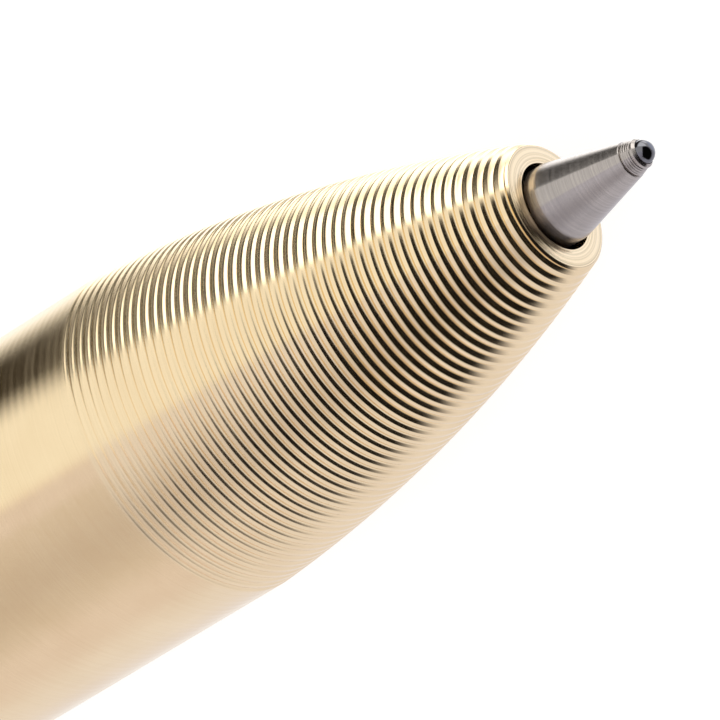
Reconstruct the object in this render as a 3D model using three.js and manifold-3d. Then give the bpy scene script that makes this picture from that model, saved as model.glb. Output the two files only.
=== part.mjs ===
// A bolt action ballpoint pen lying on its side, in millimetres, with its tip out.
// The pen axis is the X axis, the tip points to +X, and the origin is the centre of the tail face.
// Lengths along the pen are stations: 0 at the nose face, growing towards the tail.
// Heights are distances from the pen axis.

import * as THREE from 'three';
import Module from 'manifold-3d';
import { mergeVertices } from 'three/addons/utils/BufferGeometryUtils.js';

const wasm = await Module();
wasm.setup();

// Facets round a turned part
const barrelFacets = 24;
const smallFacets = 20;
const tinyFacets = 12;
const ringSides = 6;
const hexagonSides = 6;
const curveSteps = 8;
const ballAround = 16;
const ballDown = 12;
const weldDistance = 1e-5;

// General clearances
const seatGap = 0.05;
const threadGap = 0.1;
const seamGap = 0.03;
const edgeBreak = 0.15;

// Refill, a standard 98.1 mm metal ballpoint refill
const refillLength = 98.1;
const refillRadius = 2.95;
const refillWall = 0.25;
const refillPlugLength = 8;
const refillSpigotLength = 4.2;
const refillVentRadius = 0.5;
const refillNotchWidth = 0.9;
const refillNotchDepth = 1.4;
const refillFlangeLength = 0.8;

// Writing tip
const ballRadius = 0.4;
const ballPlay = 0.015;
const ballProud = 0.25;
const tipReach = 4.02;
const collarLength = 0.69;
const collarRadius = 0.55;
const collarStep = 0.04;
const collarChamfer = 0.08;
const lipWall = 0.05;
const lipTaper = 0.23;
const coneEndRadius = 0.62;
const coneLength = 2.71;
const shankRadius = 1.3;
const inkWayRadius = 0.3;
const sleeveFromTip = 9.3;
const sleeveRadius = 1.55;
const tipSeatLength = 3;
const tipSeatRadius = 0.95;
const shoulderFromTip = 19;

// Return spring
const springPitch = 1.05;
const springWireRadius = 0.2;
const springSleeveGap = 0.3;
const springChamberGap = 0.2;
const springStepsPerTurn = 8;
const springSides = 5;
const springLeastGap = 0.4;

// Nose and grip
const noseBoreGap = 0.154;
const faceWidth = 0.62;
const boreEdge = 0.04;
const faceEdge = 0.04;
const taperLength = 15.7;
const taperEndSlope = 0.07;
const groovePitch = 0.3275;
const grooveStart = 0.17;
const grooveWidth = 0.15;
const grooveDepth = 0.1;
const sleeveGap = 0.28;
const flangeForeGap = 0.4;
const frontLength = 45;

// Barrel walls and the joint between its halves
const boreGap = 0.2;
const stubWall = 1.15;
const socketWall = 1.2;
const stubLength = 9.7;
const stubEndGap = 0.3;
const ringRadius = 0.35;
const ringGap = 0.05;
const ringFromSeam = 1.5;

// Bolt and plunger
const travel = 7;
const turnAngle = 35;
const plungerGap = 0.1;
const plungerLength = 20;
const studFromPlungerFront = 10;
const studRadius = 1.45;
const studDepth = 1.2;
const studNeckRadius = 0.95;
const slotGap = 0.15;
const detentLength = 0.5;
const plungerRingRadius = 0.3;
const plungerRingGap = 0.02;
const plungerRingInset = 1;
const setScrewRadius = 1.15;
const setScrewLength = 4;
const setScrewSocket = 0.55;
const setScrewSocketDepth = 1.6;
const knobGap = 0.5;
const knobRadius = 2.5;
const knobWaistRadius = 1.95;
const knobBaseHeight = 0.7;
const knobWaistHeight = 1.6;
const knobHeadHeight = 2.3;
const knobRoof = 1.6;
const knobCrown = 0.5;

// End cap
const plungerEndGap = 0.45;
const plugStep = 0.85;
const plugLength = 7.5;
const capHeadLength = 5;
const capChamfer = 0.8;
const capFacePad = 0.25;
const capGroovePitch = 0.7;
const capGrooveCount = 3;
const capGrooveStart = 1;
const capGrooveWidth = 0.3;
const capGrooveDepth = 0.2;
const capRecessRadius = 1.6;
const capRecessDepth = 4.5;
const capRingInset = 1.3;

// Clip and its screws
const clipFlatDepth = 0.7;
const clipFromBarrelEnd = 8;
const clipPadLength = 9.6;
const clipLength = 44;
const clipWidth = 5;
const clipTipWidth = 3.8;
const clipThickness = 0.9;
const clipRise = 2.1;
const clipRiseLength = 2.4;
const clipBendRadius = 1.3;
const clipBeadGap = 0.25;
const clipBeadLength = 4;
const clipTailLength = 2.6;
const clipTailLift = 0.9;
const clipCorner = 0.45;
const clipPadGap = 0.05;
const clipFlatMargin = 0.15;
const screwInset = 2.3;
const screwRadius = 0.8;
const screwHeadRadius = 1.5;
const screwHeadHeight = 0.7;
const screwSocket = 0.5;
const screwSocketDepth = 0.45;
const screwFloor = 0.35;

// Sizes that follow from the ones above
const ballStation = ballRadius - tipReach;
const lipStation = ballProud - tipReach;
const coneEnd = lipStation + collarLength;
const coneBase = coneEnd + coneLength;
const sleeveFront = sleeveFromTip - tipReach;
const refillShoulder = shoulderFromTip - tipReach;
const refillEnd = refillLength - tipReach;
const refillPlugFront = refillEnd - refillPlugLength;
const refillInner = refillRadius - refillWall;
const spigotRadius = refillInner - threadGap;
const noseBoreLength = sleeveFront - sleeveGap;
const springFirst = noseBoreLength + springWireRadius + seatGap;
const springLast = refillShoulder - springWireRadius - seatGap;
const springTurns = Math.round((springLast - springFirst) / springPitch);
const springRadius = sleeveRadius + springSleeveGap + springWireRadius;
const chamberRadius = springRadius + springWireRadius + springChamberGap;
const noseBoreRadius = shankRadius + noseBoreGap;
const faceRadius = noseBoreRadius + faceWidth;
const boreRadius = refillRadius + boreGap;
const boreFront = refillShoulder - flangeForeGap;
const stubRadius = boreRadius + stubWall;
const socketRadius = stubRadius + threadGap;
const barrelRadius = socketRadius + socketWall;
const ringCentre = socketRadius - ringGap - ringRadius;
const plungerRadius = boreRadius - plungerGap;
const plungerFront = refillEnd + seatGap;
const plungerEnd = plungerFront + plungerLength;
const studStation = plungerFront + studFromPlungerFront;
const slotRadius = studRadius + slotGap;
const plugFront = plungerEnd + travel + plungerEndGap;
const plugRadius = boreRadius + plugStep;
const capBoreRadius = plugRadius + threadGap;
const capRingCentre = capBoreRadius - ringGap - ringRadius;
const barrelEnd = plugFront + plugLength;
const capHead = barrelEnd + seamGap;
const tailStation = capHead + capHeadLength;
const clipFlat = barrelRadius - clipFlatDepth;
const clipRear = barrelEnd - clipFromBarrelEnd;
const clipPadTop = clipFlat + clipPadGap + clipThickness;
const clipTop = clipPadTop + clipRise;
const screwStations = [clipRear - screwInset, clipRear - clipPadLength + screwInset];
const screwHoleRadius = screwRadius + threadGap;
const knobBase = barrelRadius + knobGap;
const knobTop = knobBase + knobBaseHeight + knobWaistHeight + knobHeadHeight;
const studTop = knobTop - knobRoof;

// The pen lies on its barrel and on the clip's outer edge, and the bolt is a quarter turn from the clip
const clipReach = Math.hypot(clipTop, clipWidth / 2);
const clipDrop = Math.asin(barrelRadius / clipReach) - Math.atan2(clipWidth / 2, clipTop);
const clipRoll = Math.PI / 2 + clipDrop;
const boltRoll = clipRoll - Math.PI / 2;
const turnRoll = THREE.MathUtils.degToRad(turnAngle);

const colours = {
  brass: { color: 0xe0c394, roughness: 0.25, metalness: 1 },
  steel: { color: 0xb9b4ae, roughness: 0.3, metalness: 1 },
  darkSteel: { color: 0x6d6c6e, roughness: 0.35, metalness: 1 },
  ball: { color: 0x8c8c90, roughness: 0.05, metalness: 1 },
  rubber: { color: 0x1c1c1e, roughness: 0.8, metalness: 0 },
  plastic: { color: 0xe9e7e0, roughness: 0.5, metalness: 0 },
};

const pen = new THREE.Group();

function add(name, geometry, finish) {
  const mesh = new THREE.Mesh(geometry, new THREE.MeshStandardMaterial(colours[finish]));
  mesh.name = name;
  pen.add(mesh);
}

// Turned, drilled and joined shapes

function along(station) {
  return tailStation - station;
}

function signedArea(points) {
  let area = 0;
  points.forEach((p, i) => {
    const q = points[(i + 1) % points.length];
    area += (p.x * q.y - q.x * p.y) / 2;
  });
  return area;
}

// A solid of revolution about a vertical line, from a closed outline of [radius, height]
function lathe(outline, facets) {
  const points = outline.map(([radius, height]) => new THREE.Vector2(radius, height));
  if (signedArea(points) < 0) points.reverse();
  points.push(points[0].clone());
  return new THREE.LatheGeometry(points, facets);
}

// A solid of revolution about the pen axis, from a closed outline of [station, radius]
function turned(outline, facets = barrelFacets) {
  const geometry = lathe(outline.map(([station, radius]) => [radius, along(station)]), facets);
  return geometry.rotateZ(-Math.PI / 2);
}

// A ring of round section about the pen axis
function torus(station, centreRadius, sectionRadius) {
  const outline = [];
  for (let i = 0; i < ringSides; i++) {
    const a = (2 * Math.PI * i) / ringSides;
    outline.push([station + sectionRadius * Math.cos(a), centreRadius + sectionRadius * Math.sin(a)]);
  }
  return turned(outline);
}

// A solid of revolution about a line square to the pen axis, from a closed outline of [radius, height]
function radial(outline, station, roll, facets = smallFacets) {
  return lathe(outline, facets).rotateX(Math.PI / 2).rotateX(roll).translate(along(station), 0, 0);
}

// A round bar square to the pen axis, between two heights
function radialBar(radius, low, high, station, roll, facets = smallFacets) {
  return radial([[0, low], [radius, low], [radius, high], [0, high]], station, roll, facets);
}

// A hexagonal socket square to the pen axis
function radialHexagon(radius, low, high, station, roll) {
  return radialBar(radius, low, high, station, roll, hexagonSides);
}

function solidOf(geometry) {
  const bare = geometry.clone();
  bare.deleteAttribute('normal');
  bare.deleteAttribute('uv');
  const merged = mergeVertices(bare, weldDistance);
  const index = merged.index.array;
  const triangles = [];
  for (let i = 0; i < index.length; i += 3) {
    const [a, b, c] = [index[i], index[i + 1], index[i + 2]];
    if (a !== b && b !== c && c !== a) triangles.push(a, b, c);
  }
  return new wasm.Manifold(new wasm.Mesh({
    numProp: 3,
    vertProperties: new Float32Array(merged.attributes.position.array),
    triVerts: new Uint32Array(triangles),
  }));
}

function geometryOf(solid) {
  const mesh = solid.getMesh();
  const geometry = new THREE.BufferGeometry();
  geometry.setAttribute('position', new THREE.BufferAttribute(new Float32Array(mesh.vertProperties), 3));
  geometry.setIndex(new THREE.BufferAttribute(new Uint32Array(mesh.triVerts), 1));
  return geometry;
}

function cut(geometry, ...tools) {
  return geometryOf(tools.reduce((body, tool) => body.subtract(solidOf(tool)), solidOf(geometry)));
}

function common(geometry, other) {
  return geometryOf(solidOf(geometry).intersect(solidOf(other)));
}

// Front barrel: the nose with its turned grooves, and the smooth grip

function taperRadius(station) {
  const start = faceRadius + faceEdge;
  const slope = (2 * (barrelRadius - start)) / taperLength - taperEndSlope;
  return start + slope * station - ((slope - taperEndSlope) / (2 * taperLength)) * station ** 2;
}

function groovedTaper() {
  const count = Math.floor((taperLength - grooveStart - grooveWidth) / groovePitch) + 1;
  const outline = [];
  for (let i = 0; i < count; i++) {
    const middle = grooveStart + i * groovePitch;
    outline.push([middle - grooveWidth / 2, taperRadius(middle - grooveWidth / 2)]);
    outline.push([middle, taperRadius(middle) - grooveDepth]);
    outline.push([middle + grooveWidth / 2, taperRadius(middle + grooveWidth / 2)]);
  }
  return outline;
}

function frontBarrel() {
  const socketFront = frontLength - stubLength - stubEndGap;
  return turned([
    [0, noseBoreRadius + boreEdge],
    [0, faceRadius],
    ...groovedTaper(),
    [taperLength, barrelRadius],
    [frontLength - edgeBreak, barrelRadius],
    [frontLength, barrelRadius - edgeBreak],
    [frontLength, socketRadius],
    [socketFront, socketRadius],
    [socketFront, boreRadius],
    [boreFront, boreRadius],
    [boreFront, chamberRadius],
    [noseBoreLength, chamberRadius],
    [noseBoreLength, noseBoreRadius],
    [boreEdge, noseBoreRadius],
  ]);
}

// Rear barrel: the stub that screws into the front barrel, the bolt's track and the clip's flat

// A rounded slot through the barrel wall on one side
function slotTool(fromStation, toStation, roll) {
  const length = toStation - fromStation;
  const shape = new THREE.Shape();
  shape.absarc(0, 0, slotRadius, Math.PI / 2, -Math.PI / 2, true);
  shape.absarc(-length, 0, slotRadius, -Math.PI / 2, -3 * Math.PI / 2, true);
  const tool = new THREE.ExtrudeGeometry(shape, {
    depth: barrelRadius, bevelEnabled: false, curveSegments: curveSteps,
  });
  return tool.translate(along(fromStation), 0, boreRadius / 2).rotateX(roll);
}

// The slot that the stud sweeps through as the bolt turns
function notchTool(station) {
  const inner = boreRadius / 2;
  const outer = barrelRadius + boreRadius / 2;
  const up = Math.PI / 2 + boltRoll;
  const shape = new THREE.Shape();
  shape.absarc(0, 0, outer, up - turnRoll, up, false);
  shape.absarc(0, 0, inner, up, up - turnRoll, true);
  const tool = new THREE.ExtrudeGeometry(shape, {
    depth: 2 * slotRadius, bevelEnabled: false, curveSegments: curveSteps,
  });
  tool.rotateY(Math.PI / 2).rotateX(Math.PI / 2);
  return tool.translate(along(station) - slotRadius, 0, 0);
}

// The flat under the clip's pad, long enough for the strip to rise clear of the barrel
function clipFlatTool() {
  const relief = (clipRiseLength * clipFlatDepth) / clipRise + clipBendRadius / 2;
  const length = clipPadLength + clipFlatMargin + relief;
  const tool = new THREE.BoxGeometry(length, 2 * barrelRadius, barrelRadius);
  const middle = clipRear + clipFlatMargin - length / 2;
  return tool.translate(along(middle), 0, clipFlat + barrelRadius / 2).rotateX(clipRoll);
}

function rearBarrel() {
  const front = frontLength + seamGap;
  const stubFront = frontLength - stubLength;
  const ringHalf = ringRadius + ringGap;
  const ringStation = frontLength - ringFromSeam;
  const body = turned([
    [front, barrelRadius - edgeBreak],
    [front + edgeBreak, barrelRadius],
    [barrelEnd - edgeBreak, barrelRadius],
    [barrelEnd, barrelRadius - edgeBreak],
    [barrelEnd, capBoreRadius],
    [plugFront - threadGap, capBoreRadius],
    [plugFront - threadGap, boreRadius],
    [stubFront, boreRadius],
    [stubFront, stubRadius],
    [ringStation - ringHalf, stubRadius],
    [ringStation - ringHalf, ringCentre - ringHalf],
    [ringStation + ringHalf, ringCentre - ringHalf],
    [ringStation + ringHalf, stubRadius],
    [front, stubRadius],
  ]);
  const turnedRoll = boltRoll - turnRoll;
  const holeFloor = boreRadius + screwFloor;
  return cut(
    body,
    slotTool(studStation, studStation + travel, boltRoll),
    notchTool(studStation),
    notchTool(studStation + travel),
    slotTool(studStation, studStation + detentLength, turnedRoll),
    slotTool(studStation + travel, studStation + travel + seatGap, turnedRoll),
    clipFlatTool(),
    ...screwStations.map((s) => radialBar(screwHoleRadius, holeFloor, barrelRadius, s, clipRoll, tinyFacets)),
  );
}

function jointRing() {
  return torus(frontLength - ringFromSeam, ringCentre, ringRadius);
}

// End cap with its flat tail face

function endCap() {
  const ringHalf = ringRadius + ringGap;
  const ringStation = barrelEnd - capRingInset;
  const outline = [
    [plugFront, capRecessRadius],
    [plugFront, plugRadius],
    [ringStation - ringHalf, plugRadius],
    [ringStation - ringHalf, capRingCentre - ringHalf],
    [ringStation + ringHalf, capRingCentre - ringHalf],
    [ringStation + ringHalf, plugRadius],
    [capHead, plugRadius],
    [capHead, barrelRadius - edgeBreak],
    [capHead + edgeBreak, barrelRadius],
  ];
  for (let i = 0; i < capGrooveCount; i++) {
    const middle = capHead + capGrooveStart + i * capGroovePitch;
    outline.push([middle - capGrooveWidth / 2, barrelRadius]);
    outline.push([middle, barrelRadius - capGrooveDepth]);
    outline.push([middle + capGrooveWidth / 2, barrelRadius]);
  }
  outline.push([tailStation - capChamfer, barrelRadius]);
  outline.push([tailStation, barrelRadius - capChamfer - capFacePad]);
  outline.push([tailStation, 0]);
  outline.push([plugFront + capRecessDepth, 0]);
  outline.push([plugFront + capRecessDepth, capRecessRadius]);
  return turned(outline);
}

function endCapRing() {
  return torus(barrelEnd - capRingInset, capRingCentre, ringRadius);
}

// Clip: one bent strip, screwed to the flat on the rear barrel

// Points of a polyline whose corners are rounded with one radius
function rounded(corners, radius, steps = 4) {
  const points = [corners[0]];
  for (let i = 1; i < corners.length - 1; i++) {
    const before = corners[i - 1].clone().sub(corners[i]).normalize();
    const after = corners[i + 1].clone().sub(corners[i]).normalize();
    const half = before.angleTo(after) / 2;
    const reach = radius / Math.tan(half);
    const start = corners[i].clone().addScaledVector(before, reach);
    const end = corners[i].clone().addScaledVector(after, reach);
    for (let k = 0; k <= steps; k++) {
      const t = k / steps;
      const a = start.clone().lerp(corners[i], t);
      const b = corners[i].clone().lerp(end, t);
      points.push(a.lerp(b, t));
    }
  }
  points.push(corners[corners.length - 1]);
  return points;
}

// The closed outline of a strip whose middle runs through the points
function stripShape(points, thickness) {
  const sides = [[], []];
  points.forEach((p, i) => {
    const before = points[Math.max(i - 1, 0)];
    const after = points[Math.min(i + 1, points.length - 1)];
    const run = after.clone().sub(before).normalize();
    const across = new THREE.Vector2(-run.y, run.x).multiplyScalar(thickness / 2);
    sides[0].push(p.clone().add(across));
    sides[1].unshift(p.clone().sub(across));
  });
  return new THREE.Shape([...sides[0], ...sides[1]]);
}

function clipStrip() {
  const padMiddle = clipPadTop - clipThickness / 2;
  const armMiddle = clipTop - clipThickness / 2;
  const beadMiddle = barrelRadius + clipBeadGap + clipThickness / 2;
  const tip = clipRear - clipLength;
  const bead = tip + clipTailLength;
  const at = (station, height) => new THREE.Vector2(along(station), height);
  const middle = rounded([
    at(clipRear, padMiddle),
    at(clipRear - clipPadLength, padMiddle),
    at(clipRear - clipPadLength - clipRiseLength, armMiddle),
    at(bead + clipBeadLength, armMiddle),
    at(bead, beadMiddle),
    at(tip, beadMiddle + clipTailLift),
  ], clipBendRadius);
  const strip = new THREE.ExtrudeGeometry(stripShape(middle, clipThickness), {
    depth: clipWidth, bevelEnabled: false,
  });
  return strip.translate(0, 0, -clipWidth / 2).rotateX(Math.PI / 2);
}

// The clip's plan: square at the pad, narrowing to a round tip
function clipPlan() {
  const tip = along(clipRear - clipLength);
  const rear = along(clipRear);
  const shape = new THREE.Shape();
  shape.moveTo(rear, -clipWidth / 2 + clipCorner);
  shape.lineTo(rear + clipCorner, -clipWidth / 2);
  shape.lineTo(along(clipRear - clipPadLength), -clipWidth / 2);
  shape.lineTo(tip - clipTipWidth / 2, -clipTipWidth / 2);
  shape.absarc(tip - clipTipWidth / 2, 0, clipTipWidth / 2, -Math.PI / 2, Math.PI / 2, false);
  shape.lineTo(along(clipRear - clipPadLength), clipWidth / 2);
  shape.lineTo(rear + clipCorner, clipWidth / 2);
  shape.lineTo(rear, clipWidth / 2 - clipCorner);
  return new THREE.ExtrudeGeometry(shape, {
    depth: clipTop + clipThickness, bevelEnabled: false, curveSegments: curveSteps,
  });
}

function clip() {
  const blank = common(clipStrip(), clipPlan()).rotateX(clipRoll);
  const holes = screwStations.map((s) => (
    radialBar(screwHoleRadius, clipFlat - clipPadGap, clipPadTop + clipPadGap, s, clipRoll, tinyFacets)
  ));
  return cut(blank, ...holes);
}

function clipScrew(station) {
  const head = clipPadTop + clipPadGap;
  const top = head + screwHeadHeight;
  const bottom = boreRadius + screwFloor + threadGap;
  const screw = radial([
    [0, bottom],
    [screwRadius, bottom],
    [screwRadius, head],
    [screwHeadRadius, head],
    [screwHeadRadius, top - edgeBreak],
    [screwHeadRadius - edgeBreak, top],
    [0, top],
  ], station, clipRoll, tinyFacets);
  return cut(screw, radialHexagon(screwSocket, top - screwSocketDepth, top + screwHeadHeight, station, clipRoll));
}

// Bolt: the plunger behind the refill, its stud through the track, and the knob

function plunger() {
  const ringHalf = plungerRingRadius + ringGap;
  const ringFloor = boreRadius - 2 * (plungerRingGap + plungerRingRadius) - ringGap;
  const body = [[plungerFront, 0], [plungerFront, plungerRadius - edgeBreak]];
  body.push([plungerFront + edgeBreak, plungerRadius]);
  for (const station of [plungerFront + plungerRingInset, plungerEnd - plungerRingInset]) {
    body.push([station - ringHalf, plungerRadius]);
    body.push([station - ringHalf, ringFloor]);
    body.push([station + ringHalf, ringFloor]);
    body.push([station + ringHalf, plungerRadius]);
  }
  body.push([plungerEnd - edgeBreak, plungerRadius]);
  body.push([plungerEnd, plungerRadius - edgeBreak]);
  body.push([plungerEnd, 0]);
  const bore = turned([
    [studStation, 0],
    [studStation, setScrewRadius + threadGap],
    [plungerEnd + seatGap, setScrewRadius + threadGap],
    [plungerEnd + seatGap, 0],
  ], tinyFacets);
  const studHole = radialBar(studRadius + seatGap, -studDepth - seatGap, boreRadius, studStation, boltRoll);
  return cut(turned(body), studHole, bore);
}

function plungerRing(station) {
  return torus(station, boreRadius - plungerRingGap - plungerRingRadius, plungerRingRadius);
}

function stud() {
  return radial([
    [0, -studDepth],
    [studRadius, -studDepth],
    [studRadius, knobBase - seatGap],
    [studNeckRadius, knobBase - seatGap],
    [studNeckRadius, studTop],
    [0, studTop],
  ], studStation, boltRoll);
}

function knob() {
  const waistFoot = knobBase + knobBaseHeight;
  const hole = studNeckRadius + seatGap;
  const holeTop = studTop + threadGap;
  const foot = [[hole, knobBase], [knobRadius - edgeBreak, knobBase], [knobRadius, knobBase + edgeBreak]];
  const waist = [
    [knobRadius, waistFoot],
    [knobWaistRadius, waistFoot + knobWaistHeight / 3],
    [knobWaistRadius, waistFoot + (2 * knobWaistHeight) / 3],
    [knobRadius, waistFoot + knobWaistHeight],
  ];
  const crown = [
    [knobRadius, knobTop - knobCrown],
    [knobRadius - knobCrown / 2, knobTop - knobCrown / 4],
    [knobRadius - knobCrown, knobTop],
    [0, knobTop],
  ];
  return radial([...foot, ...waist, ...crown, [0, holeTop], [hole, holeTop]], studStation, boltRoll);
}

function setScrew() {
  const front = studStation + studRadius + seatGap;
  const end = front + setScrewLength;
  const screw = turned([[front, 0], [front, setScrewRadius], [end, setScrewRadius], [end, 0]], tinyFacets);
  const socket = turned([
    [end - setScrewSocketDepth, 0],
    [end - setScrewSocketDepth, setScrewSocket],
    [end + seatGap, setScrewSocket],
    [end + seatGap, 0],
  ], hexagonSides);
  return cut(screw, socket);
}

// Refill, from its writing ball to its end plug

function ball() {
  return new THREE.SphereGeometry(ballRadius, ballAround, ballDown).translate(along(ballStation), 0, 0);
}

// Points of the ball's socket, from the lip round to the ink way
function socketArc() {
  const radius = ballRadius + ballPlay;
  const lipAngle = Math.acos((ballStation - lipStation) / radius);
  const inkAngle = Math.PI - Math.asin(inkWayRadius / radius);
  const steps = 6;
  const arc = [];
  for (let i = 0; i <= steps; i++) {
    const a = lipAngle + ((inkAngle - lipAngle) * i) / steps;
    arc.push([ballStation - radius * Math.cos(a), radius * Math.sin(a)]);
  }
  return arc;
}

function writingTip() {
  const shankEnd = sleeveFront + tipSeatLength;
  const arc = socketArc();
  const lipRadius = arc[0][1] + lipWall;
  return turned([
    ...arc,
    [shankEnd, inkWayRadius],
    [shankEnd, tipSeatRadius],
    [sleeveFront, tipSeatRadius],
    [sleeveFront, shankRadius],
    [coneBase, shankRadius],
    [coneEnd, coneEndRadius],
    [coneEnd, collarRadius - collarStep],
    [coneEnd - collarChamfer, collarRadius],
    [lipStation + lipTaper, collarRadius],
    [lipStation, lipRadius],
  ]);
}

function refillSleeve() {
  const spigotEnd = refillShoulder + refillFlangeLength + refillSpigotLength;
  const seatRadius = tipSeatRadius + seatGap;
  const seatEnd = sleeveFront + seatGap + tipSeatLength + seatGap;
  const front = sleeveFront + seatGap;
  return turned([
    [front, seatRadius],
    [front, sleeveRadius - edgeBreak],
    [front + edgeBreak, sleeveRadius],
    [refillShoulder, sleeveRadius],
    [refillShoulder, refillRadius - edgeBreak],
    [refillShoulder + edgeBreak, refillRadius],
    [refillShoulder + refillFlangeLength, refillRadius],
    [refillShoulder + refillFlangeLength, spigotRadius],
    [spigotEnd, spigotRadius],
    [spigotEnd, inkWayRadius],
    [seatEnd, inkWayRadius],
    [seatEnd, seatRadius],
  ], smallFacets);
}

function refillTube() {
  const front = refillShoulder + refillFlangeLength + seatGap;
  return turned([
    [front, refillInner],
    [front, refillRadius],
    [refillPlugFront - seatGap, refillRadius],
    [refillPlugFront - seatGap, refillInner],
  ], smallFacets);
}

function refillPlug() {
  const body = turned([
    [refillPlugFront - refillSpigotLength, refillVentRadius],
    [refillPlugFront - refillSpigotLength, spigotRadius],
    [refillPlugFront, spigotRadius],
    [refillPlugFront, refillRadius],
    [refillEnd, refillRadius],
    [refillEnd, refillVentRadius],
  ], smallFacets);
  const notch = (roll) => {
    const tool = new THREE.BoxGeometry(2 * refillNotchDepth, 2 * boreRadius, refillNotchWidth);
    return tool.translate(along(refillEnd), 0, 0).rotateX(roll);
  };
  return cut(body, notch(0), notch(Math.PI / 2));
}

// Return spring: one unbroken helical wire between the nose shoulder and the refill's flange

function springCurve() {
  const points = [];
  const count = springTurns * springStepsPerTurn;
  for (let i = 0; i <= count; i++) {
    const a = (2 * Math.PI * i) / springStepsPerTurn;
    const x = along(springFirst + ((springLast - springFirst) * i) / count);
    points.push(new THREE.Vector3(x, springRadius * Math.cos(a), springRadius * Math.sin(a)));
  }
  return points;
}

// The least distance between the surfaces of two turns, measured on the wire's points
function leastSpringGap(points) {
  let least = Infinity;
  points.forEach((p, i) => {
    for (let k = i + springStepsPerTurn / 2; k < points.length; k++) {
      least = Math.min(least, p.distanceTo(points[k]));
    }
  });
  return least - 2 * springWireRadius;
}

function wireGeometry(points) {
  const positions = [];
  const index = [];
  const ring = (i) => i * springSides;
  points.forEach((p, i) => {
    const before = points[Math.max(i - 1, 0)];
    const after = points[Math.min(i + 1, points.length - 1)];
    const run = after.clone().sub(before).normalize();
    const out = new THREE.Vector3(0, p.y, p.z).normalize();
    const side = run.clone().cross(out).normalize();
    const up = side.clone().cross(run);
    for (let k = 0; k < springSides; k++) {
      const a = (2 * Math.PI * k) / springSides;
      const q = p.clone().addScaledVector(up, springWireRadius * Math.cos(a));
      q.addScaledVector(side, springWireRadius * Math.sin(a));
      positions.push(q.x, q.y, q.z);
    }
  });
  for (let i = 0; i < points.length - 1; i++) {
    for (let k = 0; k < springSides; k++) {
      const next = (k + 1) % springSides;
      const [a, b] = [ring(i) + k, ring(i) + next];
      const [c, d] = [ring(i + 1) + k, ring(i + 1) + next];
      index.push(a, b, d, a, d, c);
    }
  }
  const end = ring(points.length - 1);
  for (let k = 1; k < springSides - 1; k++) {
    index.push(0, k + 1, k);
    index.push(end, end + k, end + k + 1);
  }
  const geometry = new THREE.BufferGeometry();
  geometry.setAttribute('position', new THREE.BufferAttribute(new Float32Array(positions), 3));
  geometry.setIndex(index);
  return geometry;
}

function returnSpring() {
  const points = springCurve();
  const gap = leastSpringGap(points);
  console.log(`least gap between turns of the return spring: ${gap.toFixed(3)} mm`);
  if (gap < springLeastGap) console.warn('the turns of the return spring are too close');
  return wireGeometry(points);
}

// The whole pen

add('front_barrel', frontBarrel(), 'brass');
add('rear_barrel', rearBarrel(), 'brass');
add('joint_o_ring', jointRing(), 'rubber');
add('end_cap', endCap(), 'brass');
add('end_cap_o_ring', endCapRing(), 'rubber');
add('clip', clip(), 'steel');
add('clip_screw_rear', clipScrew(screwStations[0]), 'darkSteel');
add('clip_screw_front', clipScrew(screwStations[1]), 'darkSteel');
add('return_spring', returnSpring(), 'steel');
add('bolt_plunger', plunger(), 'steel');
add('plunger_o_ring_front', plungerRing(plungerFront + plungerRingInset), 'rubber');
add('plunger_o_ring_rear', plungerRing(plungerEnd - plungerRingInset), 'rubber');
add('bolt_stud', stud(), 'steel');
add('bolt_knob', knob(), 'brass');
add('plunger_set_screw', setScrew(), 'darkSteel');
add('writing_ball', ball(), 'ball');
add('writing_tip', writingTip(), 'steel');
add('refill_sleeve', refillSleeve(), 'brass');
add('refill_tube', refillTube(), 'steel');
add('refill_end_plug', refillPlug(), 'plastic');

export default pen;
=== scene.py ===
import math

import bmesh
import bpy
import numpy as np
from mathutils import Matrix, Vector


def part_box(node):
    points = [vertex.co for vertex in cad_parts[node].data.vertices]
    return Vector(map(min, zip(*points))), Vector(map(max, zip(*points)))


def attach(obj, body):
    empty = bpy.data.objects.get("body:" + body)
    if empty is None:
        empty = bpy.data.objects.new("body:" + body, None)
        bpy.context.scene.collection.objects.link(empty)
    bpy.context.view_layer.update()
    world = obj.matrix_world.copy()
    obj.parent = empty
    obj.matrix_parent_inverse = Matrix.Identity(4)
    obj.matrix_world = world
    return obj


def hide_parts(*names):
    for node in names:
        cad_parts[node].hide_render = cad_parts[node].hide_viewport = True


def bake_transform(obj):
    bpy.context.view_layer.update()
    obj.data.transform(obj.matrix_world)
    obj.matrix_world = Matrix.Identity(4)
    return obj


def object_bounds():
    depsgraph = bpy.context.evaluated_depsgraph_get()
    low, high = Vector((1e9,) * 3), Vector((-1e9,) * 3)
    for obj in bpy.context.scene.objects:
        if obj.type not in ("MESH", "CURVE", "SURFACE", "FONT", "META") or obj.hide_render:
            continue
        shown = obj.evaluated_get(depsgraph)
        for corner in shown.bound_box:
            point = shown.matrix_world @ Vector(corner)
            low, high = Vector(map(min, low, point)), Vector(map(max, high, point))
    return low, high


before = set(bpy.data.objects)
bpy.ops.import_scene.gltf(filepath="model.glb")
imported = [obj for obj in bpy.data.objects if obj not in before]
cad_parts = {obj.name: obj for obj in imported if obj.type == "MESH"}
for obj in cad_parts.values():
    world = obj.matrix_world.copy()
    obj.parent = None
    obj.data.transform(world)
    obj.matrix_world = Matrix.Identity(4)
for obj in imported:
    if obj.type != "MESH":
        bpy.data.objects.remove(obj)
cad_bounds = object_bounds()

# Sizes are in millimetres. A station is a distance from the nose face towards the tail.
# Radii and heights are from the pen axis.
MM = 0.001
MICRON = 1e-6
TAIL = 134.11

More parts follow.
